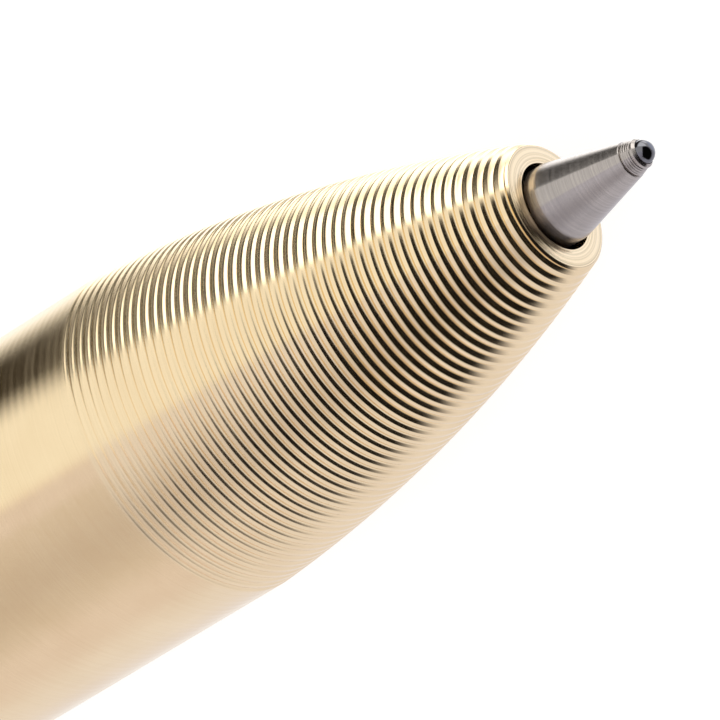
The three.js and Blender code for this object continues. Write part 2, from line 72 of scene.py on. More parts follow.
# Barrels and nose
BARREL = 5.6
BORE = 3.15
EDGE = 0.15
FRONT_LENGTH = 45.0
SEAM = 0.03
BARREL_END = 129.08
NOSE_BORE = 1.454
FACE = 2.074
TAPER = 15.7
TAPER_END_SLOPE = 0.07
GROOVE_PITCH = 0.3275
GROOVE_START = 0.17

# Bolt and its track
BOLT_ROLL = math.radians(24.7594)
TURN = math.radians(35)
TRAVEL = 7.0
STUD = 104.13
PLUNGER = 3.05
SLOT = 1.6
SLOT_FOOT = 1.6
SLOT_TOP = 9

# Clip
CLIP_ROLL = BOLT_ROLL + math.pi / 2
CLIP_REAR = 121.08
CLIP_PAD = 9.6
CLIP_LENGTH = 44
CLIP_HALF_WIDTH = 2.5
CLIP_TIP_RADIUS = 1.9
CLIP_SCREWS = (118.78, 113.78)

# Refill
REFILL = 2.95
INK_WAY = 0.3
BALL = 0.4
BALL_AT = -3.62


def along(station):
    return TAIL - station


def turn_about_pen(point, roll):
    x, y, z = point
    c, s = math.cos(roll), math.sin(roll)
    return (x, y * c - z * s, y * s + z * c)


# Meshes


def add_object(name, data):
    made = bpy.data.objects.new(name, data)
    bpy.context.scene.collection.objects.link(made)
    return made


def new_piece(name, points, faces, body, replaced=()):
    mesh = bpy.data.meshes.new(name)
    mesh.from_pydata([tuple(c * MM for c in p) for p in points], [], faces)
    made = bmesh.new()
    made.from_mesh(mesh)
    bmesh.ops.remove_doubles(made, verts=made.verts, dist=1e-9)
    bmesh.ops.recalc_face_normals(made, faces=made.faces)
    made.to_mesh(mesh)
    made.free()
    piece = add_object(name, mesh)
    if body:
        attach(piece, body)
        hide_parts(*replaced)
    return piece


def shade(piece, angle):
    """Smooth shading, with edges sharper than the angle kept sharp."""
    mesh = piece.data
    mesh.polygons.foreach_set("use_smooth", [True] * len(mesh.polygons))
    mesh.set_sharp_from_angle(angle=math.radians(angle))
    mesh.update()
    return piece


def take_modifiers(piece):
    """Replaces the piece's mesh by what its modifiers make of it."""
    graph = bpy.context.evaluated_depsgraph_get()
    made = bpy.data.meshes.new_from_object(piece.evaluated_get(graph))
    made.name = piece.data.name
    piece.modifiers.clear()
    piece.data = made
    return piece


def cut(piece, tools):
    for cutter in tools:
        step = piece.modifiers.new("cut", "BOOLEAN")
        step.operation = "DIFFERENCE"
        step.solver = "EXACT"
        step.object = cutter
    take_modifiers(piece)
    for cutter in tools:
        bpy.data.objects.remove(cutter)
    return piece


def bevel(piece, width, angle):
    step = piece.modifiers.new("edge", "BEVEL")
    step.width = width * MM
    step.segments = 2
    step.limit_method = "ANGLE"
    step.angle_limit = math.radians(angle)
    step.use_clamp_overlap = True
    step.harden_normals = False
    return take_modifiers(piece)


def softened(outline, steps=4, closed=True):
    """An outline of (u, v, radius) points with each corner rounded to about its radius."""
    widest_half_angle = math.radians(87)
    longest_share = 0.45
    made = []
    count = len(outline)
    for i, (u, v, want) in enumerate(outline):
        here = Vector((u, v))
        if want <= 0 or (not closed and i in (0, count - 1)):
            made.append(tuple(here))
            continue
        before = Vector(outline[i - 1][:2]) - here
        after = Vector(outline[(i + 1) % count][:2]) - here
        if before.length < 1e-9 or after.length < 1e-9:
            made.append(tuple(here))
            continue
        half = before.angle(after) / 2
        if half > widest_half_angle:
            made.append(tuple(here))
            continue
        reach = min(
            want / math.tan(half), longest_share * before.length, longest_share * after.length
        )
        first = here + before.normalized() * reach
        last = here + after.normalized() * reach
        for k in range(steps + 1):
            t = k / steps
            made.append(tuple(first.lerp(here, t).lerp(here.lerp(last, t), t)))
    return made


def turned_mesh(outline, segments):
    """Points and faces of a solid of revolution about X, from a closed outline of (x, radius)."""
    points, rows = [], []
    for x, radius in outline:
        if radius < 1e-6:
            rows.append([len(points)] * segments)
            points.append((x, 0, 0))
            continue
        rows.append(list(range(len(points), len(points) + segments)))
        for k in range(segments):
            a = 2 * math.pi * k / segments
            points.append((x, radius * math.cos(a), radius * math.sin(a)))
    faces = []
    for i, row in enumerate(rows):
        other = rows[(i + 1) % len(rows)]
        for k in range(segments):
            n = (k + 1) % segments
            corners = [row[k], row[n], other[n], other[k]]
            kept = [c for j, c in enumerate(corners) if c != corners[j - 1]]
            if len(set(kept)) > 2:
                faces.append(tuple(kept))
    return points, faces


def turned(name, outline, body, replaced, segments, angle=32):
    """A piece turned about the pen axis, from a closed outline of (station, radius)."""
    points, faces = turned_mesh([(along(s), r) for s, r in outline], segments)
    return shade(new_piece(name, points, faces, body, replaced), angle)


def stand_at(points, station, roll):
    """Turns points about the pen axis and moves them to a station."""
    points = [turn_about_pen(p, roll) for p in points]
    return [(x + along(station), y, z) for x, y, z in points]


def radial(name, outline, station, roll, body, replaced, segments, angle=32):
    """A piece turned about a line square to the pen, from a closed outline of (radius, height)."""
    points, faces = turned_mesh([(h, r) for r, h in outline], segments)
    points = stand_at([(y, z, x) for x, y, z in points], station, roll)
    return shade(new_piece(name, points, faces, body, replaced), angle)


def prism(outline, low, high):
    """Points and faces of a closed outline of (u, v), drawn out from w = low to w = high."""
    count = len(outline)
    points = [(u, v, low) for u, v in outline] + [(u, v, high) for u, v in outline]
    faces = [tuple(range(count))[::-1], tuple(range(count, 2 * count))]
    for i in range(count):
        n = (i + 1) % count
        faces.append((i, n, count + n, count + i))
    return points, faces


def loft_faces(rows, ring):
    """Faces of a closed skin over rows of ring points each, with flat ends."""
    faces = []
    for base in range(0, (rows - 1) * ring, ring):
        for k in range(ring):
            n = (k + 1) % ring
            faces.append((base + k, base + n, base + ring + n, base + ring + k))
    faces.append(tuple(range(ring)))
    last = (rows - 1) * ring
    faces.append(tuple(range(last, last + ring))[::-1])
    return faces


def tool(name, points, faces):
    return new_piece(name, points, faces, None)


def drill(radius, low, high, station, roll, segments):
    """A round tool square to the pen."""
    outline = [(0, low), (radius, low), (radius, high), (0, high)]
    return radial("hole", outline, station, roll, None, (), segments)


def block(name, along_pen, half_width, heights, roll):
    """A box-shaped tool along the pen."""
    low, high = along_pen
    box = [(low, -half_width), (high, -half_width), (high, half_width), (low, half_width)]
    points, faces = prism(box, *heights)
    return tool(name, [turn_about_pen(p, roll) for p in points], faces)


def arc(cx, cy, radius, start, end, steps):
    made = []
    for k in range(steps + 1):
        a = start + (end - start) * k / steps
        made.append((cx + radius * math.cos(a), cy + radius * math.sin(a)))
    return made


def hexagon(radius):
    ways = np.linspace(0, 2 * math.pi, 6, endpoint=False)
    return [(radius * math.cos(a), radius * math.sin(a)) for a in ways]


# Front barrel: the grooved nose and the smooth grip


def taper_radius(s):
    start = FACE + 0.04
    slope = 2 * (BARREL - start) / TAPER - TAPER_END_SLOPE
    return start + slope * s - (slope - TAPER_END_SLOPE) / (2 * TAPER) * s * s


def nose_line():
    """Outer line of the nose: turned grooves, deep and crisp in front and shallow at the back."""
    grooves = 48
    front_half_width, wider = 0.099, 0.031
    front_depth, shallower = 0.096, 0.052
    round_power, blend_rate = 1.65, 1.3
    places = (-1, -0.93, -0.8, -0.6, -0.3, 0, 0.3, 0.6, 0.8, 0.93, 1)
    line = []
    for i in range(grooves):
        middle = GROOVE_START + i * GROOVE_PITCH
        share = i / (grooves - 1)
        half = front_half_width + wider * share
        depth = front_depth - shallower * share
        blend = min(share * blend_rate, 1)
        for t in places:
            round_floor = 1 - abs(t) ** round_power
            wave_floor = 0.5 + 0.5 * math.cos(math.pi * t)
            drop = round_floor * (1 - blend) + wave_floor * blend
            s = middle + t * half
            line.append((s, taper_radius(s) - depth * drop))
        s = middle + GROOVE_PITCH / 2
        if s < TAPER:
            line.append((s, taper_radius(s)))
    return line


def front_barrel():
    socket, socket_start = 4.4, 35.0
    chamber, chamber_start, chamber_end = 2.45, 5.0, 14.58
    outline = [(0.03, NOSE_BORE), (0.006, NOSE_BORE + 0.01), (0, NOSE_BORE + 0.035)]
    outline += [(0, FACE - 0.02), (0.006, FACE - 0.002), (0.022, FACE + 0.012)]
    outline += nose_line()
    outline += [(s, BARREL) for s in (TAPER + 0.06, TAPER + 0.6, 25, 35)]
    outline += arc(FRONT_LENGTH - EDGE, BARREL - EDGE, EDGE, math.pi / 2, 0, 5)
    outline += [
        (FRONT_LENGTH, socket), (socket_start, socket), (socket_start, BORE),
        (chamber_end, BORE), (chamber_end, chamber),
        (chamber_start, chamber), (chamber_start, NOSE_BORE),
    ]
    return turned("nose_and_grip", outline, "barrel", ["front_barrel"], 160, 40)


# Rear barrel: the bolt's track and the clip's flat


def stadium(station, length, roll):
    """A rounded slot through the barrel's wall on one side."""
    quarter = math.pi / 2
    outline = arc(along(station), 0, SLOT, -quarter, quarter, 24)
    outline += arc(along(station + length), 0, SLOT, quarter, 3 * quarter, 24)
    points, faces = prism(outline, SLOT_FOOT, SLOT_TOP)
    return tool("slot", [turn_about_pen(p, roll) for p in points], faces)


def sector(station):
    """The slot that the stud sweeps through as the bolt turns."""
    outer = 8.5
    up = math.pi / 2 + BOLT_ROLL
    outline = arc(0, 0, outer, up - TURN, up, 24) + arc(0, 0, SLOT_FOOT, up, up - TURN, 24)
    points, faces = prism(outline, along(station) - SLOT, along(station) + SLOT)
    return tool("notch", [(w, u, v) for u, v, w in points], faces)


def clip_flat():
    """The tool that cuts the flat under the clip's pad."""
    height, spare = 4.9, 1.45
    low = along(CLIP_REAR) - EDGE
    high = low + (CLIP_PAD + EDGE + spare)
    return block("flat", (low, high), BARREL, (height, SLOT_TOP), CLIP_ROLL)


def round_normals(piece, radius):
    """Gives corners on a cylinder about the pen axis the cylinder's own normals."""
    tolerance = 0.004
    least_facing = 0.985
    mesh = piece.data
    co = np.array([v.co for v in mesh.vertices]) / MM
    normals = np.array([n.vector for n in mesh.corner_normals])
    corner_vertex = np.array([l.vertex_index for l in mesh.loops])
    totals = np.array([p.loop_total for p in mesh.polygons])
    faces = np.repeat(np.arange(len(totals)), totals)
    face_normals = np.array([p.normal for p in mesh.polygons])[faces]
    out = co[corner_vertex].copy()
    out[:, 0] = 0
    size = np.linalg.norm(out, axis=1)
    size[size == 0] = 1
    out /= size[:, None]
    facing = (face_normals * out).sum(1)
    pick = (np.abs(size - radius) < tolerance) & (np.abs(facing) > least_facing)
    normals[pick] = (out * np.sign(facing)[:, None])[pick]
    mesh.normals_split_custom_set([tuple(n) for n in normals])
    return piece


def rear_barrel():
    front = FRONT_LENGTH + SEAM
    stub, stub_start = 4.3, 35.3
    seal_groove, seal_low, seal_high = 3.6, 43.1, 43.9
    cap_bore, cap_bore_start = 4.1, 121.48
    outline = arc(front + EDGE, BARREL - EDGE, EDGE, math.pi, math.pi / 2, 4)
    outline += [(s, BARREL) for s in (60, 75, 88, 100, 102, 106, 110, 114, 118, 122, 126)]
    outline += arc(BARREL_END - EDGE, BARREL - EDGE, EDGE, math.pi / 2, 0, 4)
    outline += [
        (BARREL_END, cap_bore), (cap_bore_start, cap_bore), (cap_bore_start, BORE),
        (114, BORE), (100, BORE), (stub_start, BORE), (stub_start, stub), (seal_low, stub),
        (seal_low, seal_groove), (seal_high, seal_groove), (seal_high, stub), (front, stub),
    ]
    piece = turned("rear_barrel_shell", outline, "barrel", ["rear_barrel"], 192, 35)
    detent, rear_detent = 0.5, 0.05
    cut(piece, [
        stadium(STUD, TRAVEL, BOLT_ROLL),
        sector(STUD),
        sector(STUD + TRAVEL),
        stadium(STUD, detent, BOLT_ROLL - TURN),
        stadium(STUD + TRAVEL, rear_detent, BOLT_ROLL - TURN),
        clip_flat(),
    ])
    bevel(piece, 0.09, 30)
    shade(piece, 35)
    return round_normals(piece, BARREL)


def seal(name, station, centre, section, body, cad_node):
    """An O-ring: centre and section are the radii of its middle line and of its round section."""
    ways = np.linspace(0, 2 * math.pi, 20, endpoint=False)
    outline = [(station + section * math.cos(a), centre + section * math.sin(a)) for a in ways]
    return turned(name, outline, body, [cad_node], 96, 60)


# End cap


def end_cap():
    head, face = BARREL_END + SEAM, 4.55
    plug, plug_start = 4.0, 121.58
    recess, recess_end = 1.6, 126.08
    seal_groove, seal_low, seal_high = 3.3, 127.38, 128.18
    grooves, groove_start, groove_pitch = 3, 1, 0.7
    groove_floor = 5.4
    outline = [(plug_start, recess, 0.05), (plug_start, plug, 0.3)]
    outline += [(seal_low, plug, 0), (seal_low, seal_groove, 0)]
    outline += [(seal_high, seal_groove, 0), (seal_high, plug, 0)]
    outline += [(head, plug, 0), (head, BARREL, 0.15)]
    for i in range(grooves):
        middle = head + groove_start + groove_pitch * i
        outline += [(middle - 0.16, BARREL, 0.05), (middle - 0.04, groove_floor, 0.04)]
        outline += [(middle + 0.04, groove_floor, 0.04), (middle + 0.16, BARREL, 0.05)]
    outline += [(TAIL - 0.8, BARREL, 0.12), (TAIL, face, 0.12), (TAIL, 0, 0)]
    outline += [(recess_end, 0, 0), (recess_end, recess, 0.05)]
    outline = softened(outline, 6)
    return turned("end_cap_turned", outline, "barrel", ["end_cap"], 160, 35)


# Clip and screws


def path_points(corners, radius):
    """Points along a bent line, rounded at its corners, at most about 0.8 mm apart."""
    longest = 0.8
    rows = softened([(x, h, radius) for x, h in corners], 12, closed=False)
    made = [rows[0]]
    for point in rows[1:]:
        last = Vector(made[-1])
        gap = (Vector(point) - last).length
        count = max(1, int(gap / longest))
        for k in range(1, count + 1):
            made.append(tuple(last.lerp(Vector(point), k / count)))
    return made


def clip_half_width(x):
    rear, pad = along(CLIP_REAR), along(CLIP_REAR - CLIP_PAD)
    tip = along(CLIP_REAR - CLIP_LENGTH)
    chamfer, narrowing = 0.45, 0.6
    if x < rear + chamfer:
        return CLIP_HALF_WIDTH - chamfer + max(0, x - rear)
    if x < pad:
        return CLIP_HALF_WIDTH
    if x < tip - CLIP_TIP_RADIUS:
        return CLIP_HALF_WIDTH - narrowing * (x - pad) / (tip - CLIP_TIP_RADIUS - pad)
    return math.sqrt(max(CLIP_TIP_RADIUS ** 2 - (x - tip + CLIP_TIP_RADIUS) ** 2, 0.03))


def clip_line():
    """The clip's middle line from the rear, with points close together at its round tip."""
    pad, arm, bead = 5.4, 7.5, 6.3
    tip_steps = 14
    tip = CLIP_REAR - CLIP_LENGTH
    corners = [
        (CLIP_REAR, pad), (CLIP_REAR - CLIP_PAD, pad), (CLIP_REAR - 12, arm),
        (tip + 2.6 + 4, arm), (tip + 2.6, bead), (tip, bead + 0.9),
    ]
    line = path_points([(along(s), h) for s, h in corners], 1.3)
    end = Vector(line[-1])
    run = (end - Vector(line[-2])).normalized()
    start = end - run * (CLIP_TIP_RADIUS / run.x)
    made = [p for p in line if p[0] < end.x - CLIP_TIP_RADIUS]
    made.append(tuple(start))
    for k in range(1, tip_steps + 1):
        x = end.x - CLIP_TIP_RADIUS + CLIP_TIP_RADIUS * math.sin(math.pi / 2 * k / tip_steps)
        made.append(tuple(start + run * ((x - start.x) / run.x)))
    return made


def clip():
    half_thickness, corner, steps = 0.45, 0.2, 4
    ring = 4 * (steps + 1)
    line = clip_line()
    points = []
    for i, (x, h) in enumerate(line):
        before = Vector(line[max(i - 1, 0)])
        after = Vector(line[min(i + 1, len(line) - 1)])
        run = (after - before).normalized()
        out = Vector((-run.y, run.x))
        w = clip_half_width(x)
        c = min(corner, w * 0.6)
        for q in range(4):
            sy = 1 if q in (0, 3) else -1
            sz = 1 if q in (0, 1) else -1
            for k in range(steps + 1):
                a = math.pi / 2 * (q + k / steps)
                y = sy * (w - c) + c * math.cos(a)
                z = sz * (half_thickness - c) + c * math.sin(a)
                points.append((x + out.x * z, y, h + out.y * z))
    points = [turn_about_pen(p, CLIP_ROLL) for p in points]
    faces = loft_faces(len(line), ring)
    piece = new_piece("clip_strip", points, faces, "barrel", ["clip"])
    cut(piece, [drill(0.9, 4.5, 6.5, s, CLIP_ROLL, 32) for s in CLIP_SCREWS])
    return shade(piece, 40)


def clip_screw(name, station, cad_node):
    shaft, head, foot, seat, top = 0.8, 1.5, 3.6, 5.9, 6.6
    outline = softened([
        (0, foot, 0), (shaft, foot, 0.1), (shaft, seat, 0), (head, seat, 0.08),
        (head, top - 0.15, 0.2), (head - 0.3, top, 0.2), (0, top, 0),
    ], 6)
    piece = radial(name, outline, station, CLIP_ROLL, "barrel", [cad_node], 72, 35)
    points, faces = prism(hexagon(0.5), top - 0.45, 8)
    cut(piece, [tool("hex", stand_at(points, station, CLIP_ROLL), faces)])
    bevel(piece, 0.035, 35)
    return shade(piece, 40)


# Bolt


def plunger():
    front, end = 94.13, 114.13
    seal_groove, seal_half = 2.46, 0.35
    screw_hole, screw_hole_end = 1.25, STUD + 5.6
    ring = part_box("plunger_o_ring_front"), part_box("plunger_o_ring_rear")
    outline = [(front, 0, 0), (front, PLUNGER, 0.2)]
    for low, high in ring:
        middle = TAIL - (low.x + high.x) / 2 / MM
        outline += [(middle - seal_half, PLUNGER, 0.04), (middle - seal_half, seal_groove, 0)]
        outline += [(middle + seal_half, seal_groove, 0), (middle + seal_half, PLUNGER, 0.04)]
    outline += [(end, PLUNGER, 0.2), (end, screw_hole, 0.05)]
    outline += [(screw_hole_end, screw_hole, 0), (screw_hole_end, 0, 0)]
    outline = softened(outline, 5)
    piece = turned("bolt_plunger_turned", outline, "bolt", ["bolt_plunger"], 128, 35)
    cut(piece, [drill(1.5, -1.25, 5, STUD, BOLT_ROLL, 48)])
    bevel(piece, 0.06, 32)
    shade(piece, 35)
    return round_normals(piece, PLUNGER)


def stud():
    foot, shoulder, top = -1.2, 6.05, 9.1
    radius, neck = 1.45, 0.95
    outline = softened([
        (0, foot, 0), (radius, foot, 0.1), (radius, shoulder, 0.05),
        (neck, shoulder, 0), (neck, top, 0.1), (0, top, 0),
    ], 5)
    return radial(
        "bolt_stud_turned", outline, STUD, BOLT_ROLL, "bolt", ["bolt_stud"], 96, 35
    )


def knob():
    base, foot, top = 6.1, 6.8, 10.7
    radius, bore, bore_top = 2.5, 1.0, 9.2
    waist_depth, waist_length, waist_steps = 0.58, 1.6, 16
    waist_rim = 0.08
    waist_run = waist_length - 2 * waist_rim
    outline = [(bore, base, 0), (radius - 0.15, base, 0.08), (radius, base + 0.15, 0.1)]
    outline += [(radius, foot, 0.1)]
    for k in range(1, waist_steps):
        inward = waist_depth * math.sin(math.pi * k / waist_steps) ** 0.8
        outline.append((radius - inward, foot + waist_rim + waist_run * k / waist_steps, 0))
    outline += [(radius, foot + waist_length, 0.1), (radius, top - 0.55, 0.25)]
    outline += [(radius - 0.25, top - 0.12, 0.25), (radius - 0.5, top, 0.3), (0, top, 0)]
    outline += [(0, bore_top, 0), (bore, bore_top, 0)]
    outline = softened(outline, 6)
    return radial(
        "bolt_knob_turned", outline, STUD, BOLT_ROLL, "bolt", ["bolt_knob"], 112, 35
    )


def set_screw():
    front, length = STUD + 1.5, 4
    crest, root = 1.15, 1.0
    threads, thread_start, thread_pitch = 9, 0.35, 0.4
    outline = [(front, 0, 0), (front, root, 0.1)]
    for i in range(threads):
        s = front + thread_start + i * thread_pitch
        outline += [(s - 0.1, crest, 0.03), (s + 0.08, root, 0.03)]
    outline += [(front + length, 1.05, 0.05), (front + length, 0, 0)]
    outline, cad_node = softened(outline, 3), "plunger_set_screw"
    piece = turned("plunger_set_screw_turned", outline, "bolt", [cad_node], 64)
    points, faces = prism(hexagon(0.55), along(front + 5), along(front + 2.4))
    cut(piece, [tool("hex", [(w, u, v) for u, v, w in points], faces)])
    return shade(piece, 35)


# Refill and its tip


def writing_tip():
    """The tip: socket, ink way, seat, shank, cone, a ringed collar and the bevelled lip."""
    lip, play = -3.69, 0.415
    shank = 1.3
    seat, seat_start, seat_end = 0.95, 5.28, 8.28
    rings, ring_start, ring_pitch = 3, -3.285, 0.075
    ring_radius, ring_narrowing = 0.555, 0.025
    lip_angle = math.acos((BALL_AT - lip) / play)
    ink_angle = math.pi - math.asin(INK_WAY / play)
    outline = [
        (BALL_AT - play * math.cos(a), play * math.sin(a), 0)
        for a in np.linspace(lip_angle, ink_angle, 12)
    ]
    outline += [(seat_end, INK_WAY, 0), (seat_end, seat, 0), (seat_start, seat, 0)]
    outline += [(seat_start, shank, 0.05), (-0.33, shank, 0.03), (-0.40, 1.292, 0.03)]
    outline += [(-3.15, 0.604, 0.012), (-3.175, 0.590, 0.01)]
    outline += [(-3.18, 0.538, 0.006), (-3.215, 0.538, 0.006), (-3.225, 0.575, 0.006)]
    for k in range(rings):
        s = ring_start - ring_pitch * k
        r = ring_radius - ring_narrowing * k
        outline += [(s + 0.018, r + 0.006, 0.005), (s + 0.006, r - 0.003, 0.003)]
        outline += [(s - 0.006, r - 0.007, 0.003), (s - 0.018, r - 0.006, 0.005)]
    outline += [(-3.48, 0.489, 0.004), (-3.495, 0.470, 0.004), (-3.52, 0.470, 0.004)]
    outline += [(-3.53, 0.490, 0.005), (-3.605, 0.484, 0.005), (-3.688, 0.413, 0.002)]
    outline = softened(outline)
    return turned(
        "writing_tip_turned", outline, "refill", ["writing_tip"], 160, 38
    )


def ball():
    made = bmesh.new()
    bmesh.ops.create_uvsphere(made, u_segments=72, v_segments=48, radius=BALL * MM)
    mesh = bpy.data.meshes.new("writing_ball_polished")
    made.to_mesh(mesh)
    made.free()
    place = Matrix.Translation((along(BALL_AT) * MM, 0, 0))
    mesh.transform(place @ Matrix.Rotation(math.pi / 2, 4, "Y"))
    piece = add_object("writing_ball_polished", mesh)
    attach(piece, "ball")
    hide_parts("writing_ball")
    return shade(piece, 60)


def refill_sleeve():
    bore, sleeve, plug, edge = 1.0, 1.55, 2.6, 0.15
    front, seat_end, flange, flange_end, end = 5.33, 8.38, 14.98, 15.78, 19.98
    outline = softened([
        (front, bore, 0), (front, sleeve - edge, 0.1), (front + edge, sleeve, 0.1),
        (flange, sleeve, 0.05), (flange, REFILL - edge, 0.1), (flange + edge, REFILL, 0.1),
        (flange_end, REFILL, 0.05), (flange_end, plug, 0), (end, plug, 0.1), (end, INK_WAY, 0),
        (seat_end, INK_WAY, 0), (seat_end, bore, 0),
    ])
    return turned(
        "refill_sleeve_turned", outline, "refill", ["refill_sleeve"], 96, 35
    )


def refill_tube():
    front, end, bore = 15.83, 86.03, 2.7
    outline = softened([
        (front, bore, 0), (front, REFILL, 0.06), (end, REFILL, 0.06), (end, bore, 0),
    ])
    return turned("refill_tube_drawn", outline, "refill", ["refill_tube"], 96, 35)


def refill_plug():
    vent, spigot = 0.5, 2.6
    spigot_front, head_front, end = 81.88, 86.08, 94.08
    notch_depth, notch_half = 1.4, 0.45
    outline = softened([
        (spigot_front, vent, 0), (spigot_front, spigot, 0.2), (head_front, spigot, 0),
        (head_front, REFILL, 0.08), (end, REFILL, 0.2), (end, vent, 0.05),
    ])
    piece = turned(
        "refill_plug_moulded", outline, "refill", ["refill_end_plug"], 96, 35
    )
    run, heights = (along(end) - 1, along(end) + notch_depth), (-notch_half, notch_half)
    cut(piece, [block("notch", run, 4, heights, roll) for roll in (0, math.pi / 2)])
    bevel(piece, 0.06, 35)
    return shade(piece, 38)


def spring():
    """One unbroken wire round the refill's sleeve."""
    first, last, turns = 5.25, 14.73, 9
    coil, wire = 2.05, 0.195
    steps, sides = 28, 12
    rows = []
    count = turns * steps
    for i in range(count + 1):
        a = 2 * math.pi * i / steps
        x = along(first + (last - first) * i / count)
        rows.append(Vector((x, coil * math.cos(a), coil * math.sin(a))))
    points = []
    for i, p in enumerate(rows):
        run = (rows[min(i + 1, count)] - rows[max(i - 1, 0)]).normalized()
        out = Vector((0, p.y, p.z)).normalized()
        side = run.cross(out).normalized()
        up = side.cross(run)
        for k in range(sides):
            a = 2 * math.pi * k / sides
            points.append(tuple(p + up * (wire * math.cos(a)) + side * (wire * math.sin(a))))
    faces = loft_faces(len(rows), sides)
    piece = new_piece("return_spring_wound", points, faces, None)
    shade(piece, 50)
    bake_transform(piece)
    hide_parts("return_spring")
    return piece


# Shader nodes


def node(tree, kind, **values):
    made = tree.nodes.new(kind)
    for name, value in values.items():
        setattr(made, name, value)
    return made


def math_node(tree, operation, a, b=None, c=None, clamp=False):
    made = node(tree, "ShaderNodeMath", operation=operation, use_clamp=clamp)
    for i, value in enumerate((a, b, c)):
        if value is None:
            continue
        if isinstance(value, (int, float)):
            made.inputs[i].default_value = value
        else:
            tree.links.new(value, made.inputs[i])
    return made.outputs[0]


def vector_node(tree, operation, a, b=None, scale=None, output=0):
    made = node(tree, "ShaderNodeVectorMath", operation=operation)
    for i, value in enumerate((a, b)):
        if value is None:
            continue
        if isinstance(value, (tuple, Vector)):
            made.inputs[i].default_value = tuple(value)
        else:
            tree.links.new(value, made.inputs[i])
    if scale is not None:
        if isinstance(scale, (int, float)):
            made.inputs["Scale"].default_value = scale
        else:
            tree.links.new(scale, made.inputs["Scale"])
    return made.outputs[output]


def noise(tree, vector, scale, detail, roughness):
    made = node(tree, "ShaderNodeTexNoise", noise_dimensions="3D")
    made.inputs["Scale"].default_value = scale
    made.inputs["Detail"].default_value = detail
    made.inputs["Roughness"].default_value = roughness
    tree.links.new(vector, made.inputs["Vector"])
    return made.outputs["Fac"]


def remap(tree, value, low, high, out_low, out_high):
    made = node(tree, "ShaderNodeMapRange")
    made.inputs["From Min"].default_value = low
    made.inputs["From Max"].default_value = high
    made.inputs["To Min"].default_value = out_low
    made.inputs["To Max"].default_value = out_high
    tree.links.new(value, made.inputs["Value"])
    return made.outputs["Result"]


def mix_colour(tree, share, a, b):
    made = node(tree, "ShaderNodeMix", data_type="RGBA")
    tree.links.new(share, made.inputs["Factor"])
    for socket, value in (("A", a), ("B", b)):
        slots = [i for i in made.inputs if i.name == socket and i.type == "RGBA"]
        if isinstance(value, tuple):
            slots[0].default_value = (*value, 1)
        else:
            tree.links.new(value, slots[0])
    return [o for o in made.outputs if o.type == "RGBA"][0]


def empty_tree(owner, kind="ShaderNodeOutputMaterial"):
    """The emptied node tree of a material or a world, and the socket of its output."""
    owner.use_nodes = True
    tree = owner.node_tree
    tree.nodes.clear()
    return tree, node(tree, kind).inputs[0]


# Materials: grain and rings are patterns over millimetres, and depth is in microns


def start_material(name):
    """A material with its shader and the place on the object, in metres."""
    material = bpy.data.materials.new(name)
    tree, out = empty_tree(material)
    shader = node(tree, "ShaderNodeBsdfPrincipled")
    tree.links.new(shader.outputs[0], out)
    return material, tree, shader, node(tree, "ShaderNodeTexCoord").outputs["Object"]


def in_millimetres(tree, place):
    return vector_node(tree, "SCALE", place, scale=1 / MM)


def set_bump(tree, shader, height, depth):
    bump = node(tree, "ShaderNodeBump")
    bump.inputs["Strength"].default_value = 1.0
    bump.inputs["Distance"].default_value = depth * MICRON
    tree.links.new(height, bump.inputs["Height"])
    tree.links.new(bump.outputs[0], shader.inputs["Normal"])


